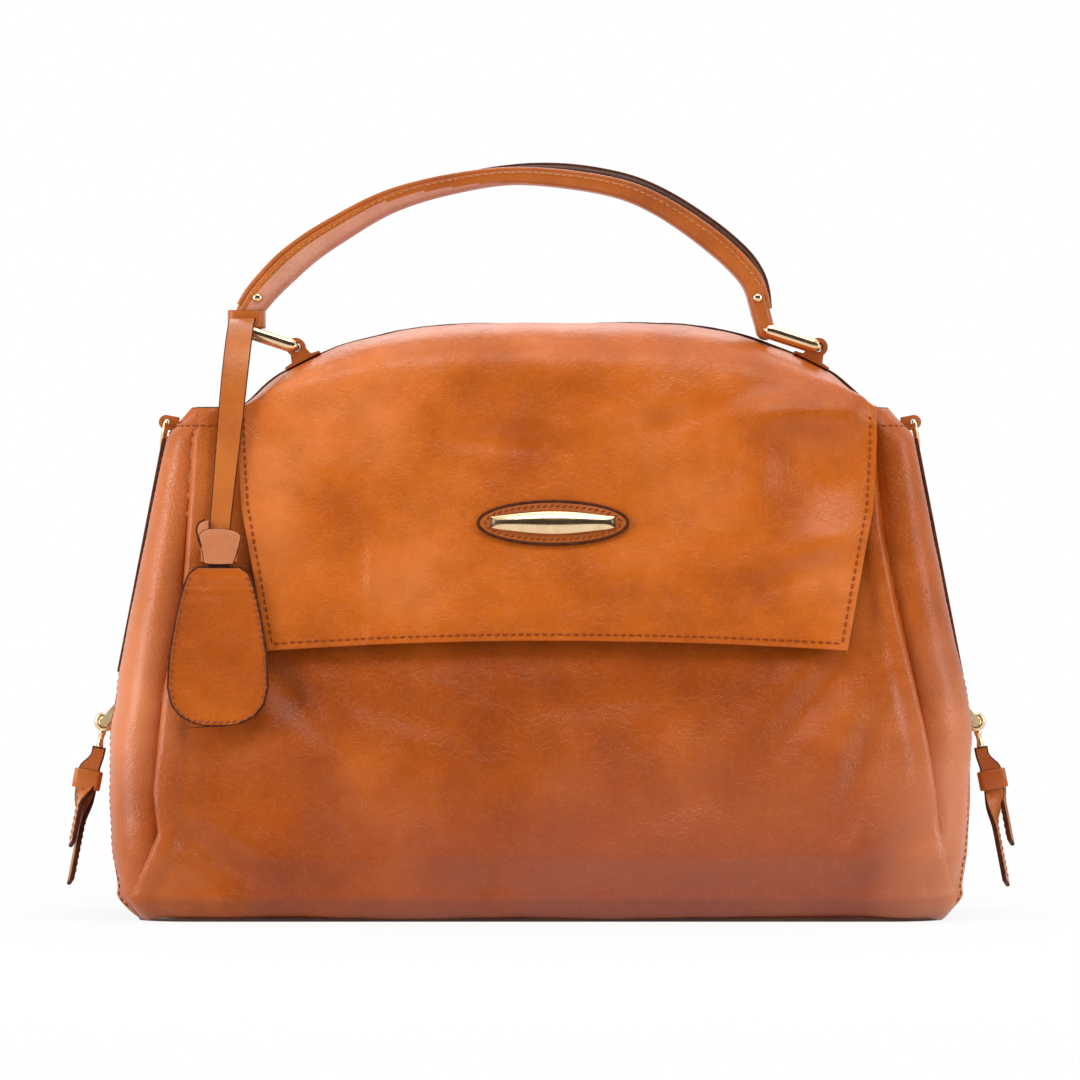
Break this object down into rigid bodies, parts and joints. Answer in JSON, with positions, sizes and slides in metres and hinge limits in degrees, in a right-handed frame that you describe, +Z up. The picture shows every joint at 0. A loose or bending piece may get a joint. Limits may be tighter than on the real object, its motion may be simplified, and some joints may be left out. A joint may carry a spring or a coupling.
{
  "type": "satchel handbag",
  "caption": "Soft leather satchel with a domed flap, an arched handle on rocking links, side zips with pulls, side D-rings and a hanging key charm.",
  "frame": {"origin": "centre of the bag's footprint, on the surface that it stands on", "axes": "+Z up, the front of the bag looks along -Y, +X to the viewer's right"},
  "size_m": [0.455, 0.1518, 0.3512],
  "materials": {
    "cognac_leather": "glossy grained cognac",
    "dark_edge_leather": "dark brown painted edge",
    "champagne_metal": "pale gold plating",
    "lining_fabric": "plain woven lining",
    "board": "stiffening board",
    "zip_tape": "rose brown tape with coil teeth"
  },
  "bodies": {
    "bag": {"front_panel": "cognac_leather", "back_panel": "cognac_leather", "left_gusset": "cognac_leather", "right_gusset": "cognac_leather", "base_panel": "dark_edge_leather", "base_board": "board", "lining": "lining_fabric", "back_seam_binding": "dark_edge_leather", "snap_socket": "champagne_metal", "left_zip_tape_front": "zip_tape", "left_zip_tape_back": "zip_tape", "right_zip_tape_front": "zip_tape", "right_zip_tape_back": "zip_tape", "left_zip_guard_front": "cognac_leather", "left_zip_guard_back": "cognac_leather", "right_zip_guard_front": "cognac_leather", "right_zip_guard_back": "cognac_leather", "left_zip_stop": "champagne_metal", "right_zip_stop": "champagne_metal", "left_d_ring_tab": "cognac_leather", "right_d_ring_tab": "cognac_leather"},
    "flap": {"flap_outer": "cognac_leather", "flap_lining": "lining_fabric", "snap_stud": "champagne_metal", "plate_patch": "cognac_leather", "plate": "champagne_metal", "left_anchor_tab": "cognac_leather", "right_anchor_tab": "cognac_leather"},
    "left_link_body": {"left_link": "champagne_metal"},
    "right_link_body": {"right_link": "champagne_metal"},
    "handle_body": {"handle": "cognac_leather", "left_handle_rivet": "champagne_metal", "right_handle_rivet": "champagne_metal", "charm_band": "cognac_leather"},
    "charm": {"charm_strap": "cognac_leather", "charm_keeper": "dark_edge_leather"},
    "clochette": {"clochette_back": "cognac_leather", "clochette_front": "cognac_leather"},
    "left_slider": {"left_zip_slider": "champagne_metal"},
    "right_slider": {"right_zip_slider": "champagne_metal"},
    "left_ring": {"left_pull_ring": "champagne_metal"},
    "right_ring": {"right_pull_ring": "champagne_metal"},
    "left_pull": {"left_pull_strap": "cognac_leather", "left_pull_keeper": "dark_edge_leather"},
    "right_pull": {"right_pull_strap": "cognac_leather", "right_pull_keeper": "dark_edge_leather"},
    "left_d_ring_body": {"left_d_ring": "champagne_metal"},
    "right_d_ring_body": {"right_d_ring": "champagne_metal"}
  },
  "joints": [
    {"name": "flap_hinge", "type": "hinge", "parent": "bag", "child": "flap", "pos_m": [0, 0.03702, 0.2444], "axis": [-1, 0, 0], "range_deg": [0, 110]},
    {"name": "right_link_rock", "type": "hinge", "parent": "flap", "child": "right_link_body", "pos_m": [0.13056, -0.0033, 0.26647], "axis": [0, 1, 0], "range_deg": [0, 130]},
    {"name": "handle_level", "type": "hinge", "parent": "right_link_body", "child": "handle_body", "pos_m": [0.10584, -0.0033, 0.2745], "axis": [0, 1, 0], "range_deg": [-130, 0]},
    {"name": "left_link_rock", "type": "hinge", "parent": "flap", "child": "left_link_body", "pos_m": [-0.11456, -0.0033, 0.26647], "axis": [0, 1, 0], "range_deg": [0, 130]},
    {"name": "charm_swing", "type": "hinge", "parent": "handle_body", "child": "charm", "pos_m": [-0.13929, -0.0151, 0.2801], "axis": [-1, 0, 0], "range_deg": [0, 70]},
    {"name": "clochette_swing", "type": "hinge", "parent": "charm", "child": "clochette", "pos_m": [-0.14829, -0.0627, 0.1636], "axis": [-1, 0, 0], "range_deg": [0, 100]},
    {"name": "left_zip_slide", "type": "slide", "parent": "bag", "child": "left_slider", "axis": [0.1898, 0, 0.9818], "range_m": [0, 0.111]},
    {"name": "right_zip_slide", "type": "slide", "parent": "bag", "child": "right_slider", "axis": [-0.1898, 0, 0.9818], "range_m": [0, 0.111]},
    {"name": "left_ring_swing", "type": "hinge", "parent": "left_slider", "child": "left_ring", "pos_m": [-0.20516, 0, 0.09037], "axis": [0, 1, 0], "range_deg": [0, 100]},
    {"name": "right_ring_swing", "type": "hinge", "parent": "right_slider", "child": "right_ring", "pos_m": [0.20516, 0, 0.09037], "axis": [0, -1, 0], "range_deg": [0, 100]},
    {"name": "left_pull_swing", "type": "hinge", "parent": "left_ring", "child": "left_pull", "pos_m": [-0.20801, 0, 0.07564], "axis": [0, 1, 0], "range_deg": [0, 60]},
    {"name": "right_pull_swing", "type": "hinge", "parent": "right_ring", "child": "right_pull", "pos_m": [0.20801, 0, 0.07564], "axis": [0, -1, 0], "range_deg": [0, 60]},
    {"name": "left_d_ring_swing", "type": "hinge", "parent": "bag", "child": "left_d_ring_body", "pos_m": [-0.17585, 0, 0.23143], "axis": [0, 1, 0], "range_deg": [0, 120]},
    {"name": "right_d_ring_swing", "type": "hinge", "parent": "bag", "child": "right_d_ring_body", "pos_m": [0.17585, 0, 0.23143], "axis": [0, -1, 0], "range_deg": [0, 120]}
  ],
  "couplings": [
    {"joint": "handle_level", "follows": "right_link_rock", "ratio": -1},
    {"joint": "left_link_rock", "follows": "right_link_rock", "ratio": 1}
  ]
}
